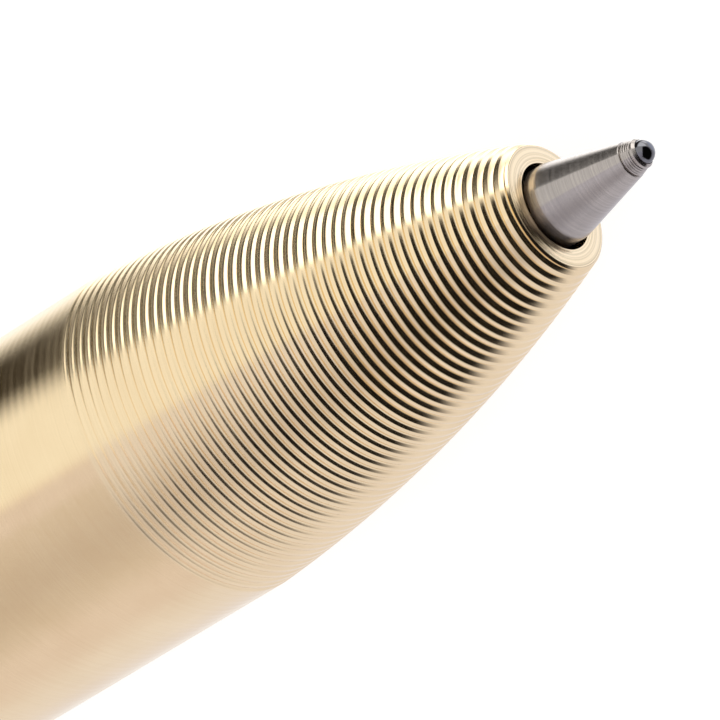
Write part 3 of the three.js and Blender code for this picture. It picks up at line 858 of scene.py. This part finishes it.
def turned_metal(name, colour, dark, roughness, anisotropy, axis=(1, 0, 0), centre=(0, 0, 0),
                 lines=14.0, depth=1.0, wave=0.0, streak=0.0, soften=0.0, facing_rings=0.0):
    """Metal turned about a line: fine rings round the line, on its faces as well.

    lines is how fine the rings are, wave the relief of waves at the grooves' pitch, streak that
    of specks, soften the roughness added along the taper, and facing_rings how many times deeper
    the rings are on faces square to the line, where they are also cut dark.
    """
    material, tree, shader, place = start_material(name)
    axis = tuple(Vector(axis).normalized())
    grain_place = in_millimetres(tree, place)
    arm = vector_node(tree, "SUBTRACT", place, tuple(Vector(centre) * MM))
    axial = vector_node(tree, "DOT_PRODUCT", arm, axis, output="Value")
    spoke = vector_node(tree, "SUBTRACT", arm, vector_node(tree, "SCALE", axis, scale=axial))
    radius = vector_node(tree, "LENGTH", spoke, output="Value")
    around = vector_node(tree, "NORMALIZE", vector_node(tree, "CROSS_PRODUCT", axis, spoke))
    rings = node(tree, "ShaderNodeCombineXYZ")
    tree.links.new(math_node(tree, "MULTIPLY", axial, 1 / MM), rings.inputs[0])
    tree.links.new(math_node(tree, "MULTIPLY", radius, 1 / MM), rings.inputs[1])
    ring_place = rings.outputs[0]
    fine = noise(tree, ring_place, lines, 3.0, 0.62)
    broad = noise(tree, ring_place, lines * 0.22, 2.0, 0.5)
    blots = noise(tree, grain_place, 0.55, 3.0, 0.55)
    specks = noise(tree, grain_place, 9.0, 3.0, 0.6)

    tone = math_node(tree, "MULTIPLY_ADD", fine, 0.55, math_node(tree, "MULTIPLY", blots, 0.45))
    shown = mix_colour(tree, remap(tree, tone, 0.36, 0.66, 0.0, 1.0), dark, colour)
    if facing_rings:
        outward = node(tree, "ShaderNodeTexCoord").outputs["Normal"]
        facing = vector_node(tree, "DOT_PRODUCT", outward, axis, output="Value")
        on_face = remap(tree, math_node(tree, "ABSOLUTE", facing), 0.9, 0.98, 0.0, 1.0)
        coarse = noise(tree, ring_place, lines * 1.5, 2.0, 0.5)
        cuts = remap(tree, coarse, 0.42, 0.66, 0.0, 1.0)
        darkest = tuple(0.7 * c for c in dark)
        shown = mix_colour(tree, math_node(tree, "MULTIPLY", on_face, cuts), shown, darkest)
    tree.links.new(shown, shader.inputs["Base Color"])

    rough = roughness - 0.14
    for pattern, share in ((broad, 0.12), (blots, 0.10), (specks, 0.06)):
        rough = math_node(tree, "MULTIPLY_ADD", pattern, share, rough)
    if soften:
        behind = remap(tree, axial, along(TAPER) * MM, along(5.5) * MM, 1.0, 0.0)
        ahead = remap(tree, axial, along(TAPER + 1.6) * MM, along(TAPER) * MM, 0.0, 1.0)
        between = math_node(tree, "MULTIPLY", behind, ahead)
        rough = math_node(tree, "MULTIPLY_ADD", between, soften, rough)
    tree.links.new(math_node(tree, "MAXIMUM", rough, 0.03), shader.inputs["Roughness"])

    height = math_node(tree, "MULTIPLY_ADD", fine, 0.7, math_node(tree, "MULTIPLY", broad, 1.2))
    if wave:
        turns = math_node(tree, "MULTIPLY", axial, 2 * math.pi / (GROOVE_PITCH * MM))
        low, high = along(TAPER + 14) * MM, along(TAPER + 1) * MM
        fading = remap(tree, axial, low, high, 0.25, 1.0)
        swing = math_node(tree, "MULTIPLY", math_node(tree, "SINE", turns), fading)
        height = math_node(tree, "MULTIPLY_ADD", swing, wave, height)
    if streak:
        height = math_node(tree, "MULTIPLY_ADD", specks, streak, height)
    if facing_rings:
        deeper = math_node(tree, "MULTIPLY_ADD", on_face, facing_rings - 1, 1)
        height = math_node(tree, "MULTIPLY", height, deeper)
    set_bump(tree, shader, height, depth)
    tree.links.new(around, shader.inputs["Tangent"])
    shader.inputs["Metallic"].default_value = 1.0
    shader.inputs["Anisotropic"].default_value = anisotropy
    shader.inputs["Anisotropic Rotation"].default_value = 0.25
    return material


def brushed_metal(name, colour, dark, roughness, depth):
    """Steel brushed along the pen."""
    material, tree, shader, place = start_material(name)
    grain_place = in_millimetres(tree, place)
    stretched = vector_node(tree, "MULTIPLY", grain_place, (0.12, 9.0, 9.0))
    hairs = noise(tree, stretched, 3.0, 4.0, 0.7)
    blots = noise(tree, grain_place, 0.4, 3.0, 0.5)
    tone = math_node(tree, "MULTIPLY_ADD", hairs, 0.7, math_node(tree, "MULTIPLY", blots, 0.3))
    shown = mix_colour(tree, remap(tree, tone, 0.34, 0.68, 0.0, 1.0), dark, colour)
    tree.links.new(shown, shader.inputs["Base Color"])
    rough = math_node(tree, "MULTIPLY_ADD", hairs, 0.12, roughness - 0.13)
    rough = math_node(tree, "MULTIPLY_ADD", blots, 0.14, rough)
    tree.links.new(rough, shader.inputs["Roughness"])
    set_bump(tree, shader, hairs, depth)
    shader.inputs["Metallic"].default_value = 1.0
    return material


def plain_finish(name, colour, dark, roughness, grain, depth):
    """Moulded rubber or plastic."""
    material, tree, shader, place = start_material(name)
    grain_place = in_millimetres(tree, place)
    grains = noise(tree, grain_place, grain * 6, 3.0, 0.6)
    blots = noise(tree, grain_place, grain * 0.4, 3.0, 0.5)
    shown = mix_colour(tree, remap(tree, blots, 0.35, 0.65, 0, 1), dark, colour)
    tree.links.new(shown, shader.inputs["Base Color"])
    rough = math_node(tree, "MULTIPLY_ADD", grains, 0.16, roughness - 0.08)
    tree.links.new(rough, shader.inputs["Roughness"])
    set_bump(tree, shader, grains, depth)
    shader.inputs["Metallic"].default_value = 0.0
    return material


def finish_with(piece, material):
    piece.data.materials.clear()
    piece.data.materials.append(material)
    for face in piece.data.polygons:
        face.material_index = 0


# Each finish has its colour and the darker colour that its pattern reaches.
BRASS = (0.95, 0.765, 0.485), (0.89, 0.70, 0.43)
STEEL = (0.53, 0.48, 0.435), (0.34, 0.31, 0.29)
DARK_STEEL = (0.32, 0.32, 0.33), (0.22, 0.22, 0.23)
POLISHED = (0.20, 0.197, 0.208), (0.17, 0.168, 0.177)
SLEEVE_BRASS = (0.80, 0.62, 0.36), (0.70, 0.52, 0.28)
PLATED = (0.66, 0.65, 0.64), (0.6, 0.59, 0.58)
CLIP_STEEL = (0.60, 0.58, 0.55), (0.46, 0.44, 0.42)
WIRE = (0.62, 0.61, 0.60), (0.5, 0.49, 0.48)
RUBBER = (0.030, 0.030, 0.032), (0.018, 0.018, 0.02)
PLASTIC = (0.80, 0.79, 0.74), (0.74, 0.73, 0.68)

bolt_axis = turn_about_pen((0, 0, 1), BOLT_ROLL)
clip_axis = turn_about_pen((0, 0, 1), CLIP_ROLL)
bolt_middle = (along(STUD), 0, 0)

brass = turned_metal(
    "brass_turned", *BRASS, 0.15, 0.8, lines=15, depth=0.8, wave=1.2, soften=0.06,
    facing_rings=30.0,
)
knob_brass = turned_metal(
    "brass_knob", *BRASS, 0.17, 0.6, bolt_axis, bolt_middle, lines=15, depth=1.2
)
tip_steel = turned_metal("tip_steel_turned", *STEEL, 0.20, 0.95, lines=38, depth=2.6, streak=0.3)
ball_metal = turned_metal("ball_polished", *POLISHED, 0.05, 0.0, lines=3, depth=0.1)
bolt_steel = turned_metal("bolt_steel_turned", *STEEL, 0.24, 0.6, lines=12, depth=1.6)
stud_steel = turned_metal(
    "stud_steel_turned", *STEEL, 0.22, 0.6, bolt_axis, bolt_middle, lines=12, depth=1.6
)
screw_steels = [
    turned_metal(
        "screw_steel_" + str(i), *DARK_STEEL, 0.3, 0.5, clip_axis, (along(s), 0, 0),
        lines=9, depth=2.0,
    )
    for i, s in enumerate(CLIP_SCREWS)
]
inner_steel = turned_metal("set_screw_steel", *DARK_STEEL, 0.3, 0.4, lines=9, depth=2.0)
sleeve_brass = turned_metal("refill_brass_turned", *SLEEVE_BRASS, 0.25, 0.5, lines=10, depth=1.5)
tube_metal = turned_metal("refill_tube_plated", *PLATED, 0.15, 0.2, lines=4, depth=0.4)
clip_steel = brushed_metal("clip_steel_brushed", *CLIP_STEEL, 0.3, 1.5)
spring_steel = brushed_metal("spring_wire", *WIRE, 0.25, 1.0)
rubber = plain_finish("rubber_seal", *RUBBER, 0.6, 2.0, 6.0)
plastic = plain_finish("refill_plastic", *PLASTIC, 0.42, 1.5, 5.0)

finish_with(front_barrel(), brass)
finish_with(rear_barrel(), brass)
finish_with(end_cap(), brass)
finish_with(seal("joint_seal", 43.5, 4.0, 0.35, "barrel", "joint_o_ring"), rubber)
finish_with(seal("end_cap_seal", 127.78, 3.7, 0.35, "barrel", "end_cap_o_ring"), rubber)
finish_with(clip(), clip_steel)
for place_name, station, steel in zip(("rear", "front"), CLIP_SCREWS, screw_steels):
    screw_node = "clip_screw_" + place_name
    finish_with(clip_screw(screw_node + "_turned", station, screw_node), steel)
finish_with(spring(), spring_steel)
finish_with(plunger(), bolt_steel)
for place_name in ("front", "rear"):
    ring_low, ring_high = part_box("plunger_o_ring_" + place_name)
    ring_station = TAIL - (ring_low.x + ring_high.x) / 2 / MM
    ring_node = "plunger_o_ring_" + place_name
    ring = seal("plunger_seal_" + place_name, ring_station, 2.83, 0.3, "bolt", ring_node)
    finish_with(ring, rubber)
finish_with(stud(), stud_steel)
finish_with(knob(), knob_brass)
finish_with(set_screw(), inner_steel)
finish_with(writing_tip(), tip_steel)
finish_with(ball(), ball_metal)
finish_with(refill_sleeve(), sleeve_brass)
finish_with(refill_tube(), tube_metal)
finish_with(refill_plug(), plastic)

# Camera: the pen's directions in the picture, with x to the right, y down and z into it.
# The focal length and the nose's place are in pixels, and the distance in millimetres.
PICTURE = 720
SENSOR = 36
FOCAL, DISTANCE = 9570.0, 290.0
NOSE_PIXEL = (555.2, 206.1)
PEN_TURN, PEN_DEPTH = math.radians(148.6), math.radians(33.6)
CAMERA_ROLL = math.radians(12)

tail_way = Vector((
    math.cos(PEN_DEPTH) * math.cos(PEN_TURN),
    math.cos(PEN_DEPTH) * math.sin(PEN_TURN),
    math.sin(PEN_DEPTH),
))
side_way = Vector((0, 0, 1)).cross(tail_way).normalized()
near_way = side_way.cross(tail_way)
picture = Matrix((tail_way, side_way, near_way))
side_world = Vector((0, math.cos(CAMERA_ROLL), math.sin(CAMERA_ROLL)))
near_world = Vector((0, -math.sin(CAMERA_ROLL), math.cos(CAMERA_ROLL)))
world = Matrix((Vector((-1, 0, 0)), side_world, near_world)).transposed()
to_world = world @ picture
nose_seen = Vector((
    (NOSE_PIXEL[0] - PICTURE / 2) / FOCAL * DISTANCE,
    (NOSE_PIXEL[1] - PICTURE / 2) / FOCAL * DISTANCE,
    DISTANCE,
))
eye = Vector((TAIL, 0, 0)) - to_world @ nose_seen
lens = bpy.data.cameras.new("camera")
lens.lens = FOCAL / PICTURE * SENSOR
lens.sensor_width = SENSOR
lens.clip_start = 0.01
lens.clip_end = 20
lens.dof.use_dof = False
camera = add_object("camera", lens)
turn = to_world @ Matrix(((1, 0, 0), (0, -1, 0), (0, 0, -1)))
camera.matrix_world = Matrix.Translation(eye * MM) @ turn.to_4x4()
bpy.context.scene.camera = camera

# Stage: a white floor and world, two soft lamps, and far cards, dark or light, that only
# reflections see
floor_height = cad_bounds[0].z
CARD_CENTRE = Vector((TAIL - 4, 0, 0))


def seen_white(tree, plain, shown):
    """Chooses what a camera, glossy or transmission ray meets, and what lights the object."""
    path = node(tree, "ShaderNodeLightPath")
    seen = math_node(tree, "ADD", path.outputs["Is Camera Ray"], path.outputs["Is Glossy Ray"])
    seen = math_node(tree, "ADD", seen, path.outputs["Is Transmission Ray"], clamp=True)
    mixed = node(tree, "ShaderNodeMixShader")
    tree.links.new(seen, mixed.inputs[0])
    tree.links.new(plain, mixed.inputs[1])
    tree.links.new(shown, mixed.inputs[2])
    return mixed.outputs[0]


def floor():
    half = 6.0
    lighting, shown_grey, shown_glow = 0.85, 0.42, 0.78
    corners = [(-half, -half), (half, -half), (half, half), (-half, half)]
    mesh = bpy.data.meshes.new("floor")
    mesh.from_pydata([(x, y, floor_height) for x, y in corners], [], [(0, 1, 2, 3)])
    plane = add_object("floor", mesh)
    material = bpy.data.materials.new("floor_white")
    tree, out = empty_tree(material)
    matte = node(tree, "ShaderNodeBsdfDiffuse")
    matte.inputs["Color"].default_value = (lighting, lighting, lighting, 1)
    soft = node(tree, "ShaderNodeBsdfDiffuse")
    soft.inputs["Color"].default_value = (shown_grey, shown_grey, shown_grey, 1)
    glow = node(tree, "ShaderNodeEmission")
    glow.inputs["Strength"].default_value = shown_glow
    both = node(tree, "ShaderNodeAddShader")
    tree.links.new(soft.outputs[0], both.inputs[0])
    tree.links.new(glow.outputs[0], both.inputs[1])
    tree.links.new(seen_white(tree, matte.outputs[0], both.outputs[0]), out)
    mesh.materials.append(material)
    plane.visible_glossy = False


def world_light():
    lighting, shown_white = 0.5, 1.0
    made = bpy.data.worlds.new("studio")
    bpy.context.scene.world = made
    tree, out = empty_tree(made, "ShaderNodeOutputWorld")
    fill = node(tree, "ShaderNodeBackground")
    fill.inputs["Color"].default_value = (1, 1, 1, 1)
    fill.inputs["Strength"].default_value = lighting
    shown = node(tree, "ShaderNodeBackground")
    shown.inputs["Color"].default_value = (1, 1, 1, 1)
    shown.inputs["Strength"].default_value = shown_white
    tree.links.new(seen_white(tree, fill.outputs[0], shown.outputs[0]), out)
    made.cycles.sampling_method = "NONE"


def panel_material(name, colour):
    """Light of one colour, nearly none on a dark card, that turns clear as the cover fades."""
    material = bpy.data.materials.new(name)
    material.cycles.emission_sampling = "NONE"
    tree, out = empty_tree(material)
    glow = node(tree, "ShaderNodeEmission")
    glow.inputs["Color"].default_value = (*(c / max(colour) for c in colour), 1)
    glow.inputs["Strength"].default_value = max(colour)
    clear = node(tree, "ShaderNodeBsdfTransparent")
    cover = node(tree, "ShaderNodeAttribute", attribute_name="cover")
    mixed = node(tree, "ShaderNodeMixShader")
    tree.links.new(cover.outputs["Fac"], mixed.inputs[0])
    tree.links.new(clear.outputs[0], mixed.inputs[1])
    tree.links.new(glow.outputs[0], mixed.inputs[2])
    tree.links.new(mixed.outputs[0], out)
    return material


def way_to(tilt, psi):
    """A direction, in degrees.

    tilt is from the way the tip points, and psi round the pen from the camera's side up.
    """
    a, b = math.radians(tilt), math.radians(psi)
    way = side_world * (math.sin(a) * math.sin(b)) + near_world * (math.sin(a) * math.cos(b))
    way.x = math.cos(a)
    return way


def card_point(way, distance):
    return tuple((CARD_CENTRE + way * distance) * MM)


def eased(value):
    t = min(max(value, 0), 1)
    return t * t * (3 - 2 * t)


def place_card(name, points, cover, faces, colour):
    """Only reflections see a card; cover is how much of it shows at each point."""
    mesh = bpy.data.meshes.new(name)
    mesh.from_pydata(points, [], faces)
    attribute = mesh.attributes.new("cover", "FLOAT", "POINT")
    attribute.data.foreach_set("value", cover)
    mesh.materials.append(panel_material(name, colour))
    made = add_object(name, mesh)
    made.visible_camera = False
    made.visible_diffuse = False
    made.visible_shadow = False


def card(name, corners, soft, colour, share, distance):
    """A card on a sphere about the nose.

    Its corners are (tilt, psi) directions in degrees, joined by straight edges. Each edge fades
    out over its own angle in soft.
    """
    ways = [way_to(*corner) for corner in corners]
    middle = sum(ways, Vector()).normalized()
    poles = []
    for i, way in enumerate(ways):
        pole = way.cross(ways[(i + 1) % len(ways)]).normalized()
        poles.append(pole if pole.dot(middle) > 0 else -pole)
    step = 2
    rows, columns = 180 // step, 360 // step
    points, cover, faces = [], [], []
    for i in range(rows + 1):
        for k in range(columns):
            way = way_to(i * step, k * step)
            inside = share
            for pole, width in zip(poles, soft):
                angle = math.degrees(math.asin(max(-1, min(1, way.dot(pole)))))
                inside *= eased(angle / width)
            points.append(card_point(way, distance))
            cover.append(inside)
    for i in range(rows):
        here, below = i * columns, (i + 1) * columns
        for k in range(columns):
            n = (k + 1) % columns
            face = (here + k, here + n, below + n, below + k)
            if max(cover[c] for c in face) > 0:
                faces.append(face)
    used = sorted({c for face in faces for c in face})
    order = {c: i for i, c in enumerate(used)}
    faces = [tuple(order[c] for c in face) for face in faces]
    place_card(name, [points[c] for c in used], [cover[c] for c in used], faces, colour)


def belt_card(name, tilt, turn, soft, colour, share, distance):
    """A card between two tilts and two turns, in degrees, with a soft edge for each."""
    rows, columns = 24, 48
    points, cover, faces = [], [], []
    for i in range(rows + 1):
        a = tilt[0] + (tilt[1] - tilt[0]) * i / rows
        for k in range(columns + 1):
            psi = turn[0] + (turn[1] - turn[0]) * k / columns
            points.append(card_point(way_to(a, psi), distance))
            inside = share
            for gap, width in zip((a - tilt[0], tilt[1] - a, psi - turn[0], turn[1] - psi), soft):
                inside *= eased(gap / width)
            cover.append(inside)
            if i and k:
                n = i * (columns + 1) + k
                faces.append((n - columns - 2, n - columns - 1, n, n - 1))
    place_card(name, points, cover, faces, colour)


def lamp(name, centre, target, width, height, radiance):
    data = bpy.data.lights.new(name, "AREA")
    data.shape = "RECTANGLE"
    data.size = width * MM
    data.size_y = height * MM
    data.energy = radiance * math.pi * data.size * data.size_y
    item = add_object(name, data)
    way = Vector(target) - Vector(centre)
    item.rotation_euler = way.to_track_quat("-Z", "Y").to_euler()
    item.location = Vector(centre) * MM
    item.visible_camera = False
    item.visible_glossy = False


floor()
world_light()

BLACK = (0.012, 0.011, 0.010)
STRIP = (0.030, 0.028, 0.022)
REAR_STRIP = (0.038, 0.031, 0.022)
SHADE = (0.42, 0.385, 0.42)
COOL = (0.62, 0.60, 0.84)
WARM = (0.5, 0.2, 0.1)
OLIVE = (0.3, 0.3, 0.0)
LIGHT = (2.2, 2.2, 2.2)
FACE_LIGHT = (1.1, 1.16, 1.36)

card("shade_low", [(2, 22), (178, 22), (178, -130), (2, -130)], (6, 1, 1, 1), COOL, 0.36, 440)
card(
    "shade_under", [(2, -129), (178, -129), (178, -176), (2, -176)], (1, 1, 24, 1),
    COOL, 0.36, 442,
)
card(
    "shade_camera", [(40, 12), (165, 12), (165, -75), (40, -75)], (40, 10, 40, 10),
    SHADE, 0.42, 435,
)
belt_card("shade_rear", (114, 176), (-118, 26), (9, 4, 30, 9), WARM, 0.16, 396)
belt_card("shade_rear_camera", (114, 176), (-80, 8), (9, 4, 26, 10), OLIVE, 0.13, 394)
card("flag_ahead", [(51, 72), (80, -30), (88, -118), (42, -178)], (9, 9, 26, 10), BLACK, 1, 400)
belt_card("flag_side", (84.5, 104), (62, 172), (5, 3, 11, 42), STRIP, 1, 405)
belt_card("flag_side_middle", (101.5, 119), (62, 146), (3, 8, 10, 40), STRIP, 1, 403)
belt_card("flag_side_rear", (115.5, 170), (66, 156), (8, 8, 26, 44), REAR_STRIP, 1, 407)
card(
    "light_face", [(36, 138), (92, 138), (92, 205), (36, 205)], (14, 14, 10, 8),
    FACE_LIGHT, 1, 422,
)
card("light_back", [(52, 110), (128, 110), (124, 185), (56, 160)], (26, 24, 14, 10), LIGHT, 1, 425)
card(
    "light_ahead", [(58, 68), (84, 70), (84, 118), (26, 130), (26, 112)], (5, 5, 8, 8, 5),
    LIGHT, 1, 410,
)
lamp("lamp_top", (90, -120, 420), (90, 0, 0), 500, 320, 1.3)
lamp("lamp_back", (TAIL + 40, 150, 30), (TAIL - 8, 0, 0), 180, 90, 1.5)

bpy.context.scene.view_settings.view_transform = "Standard"
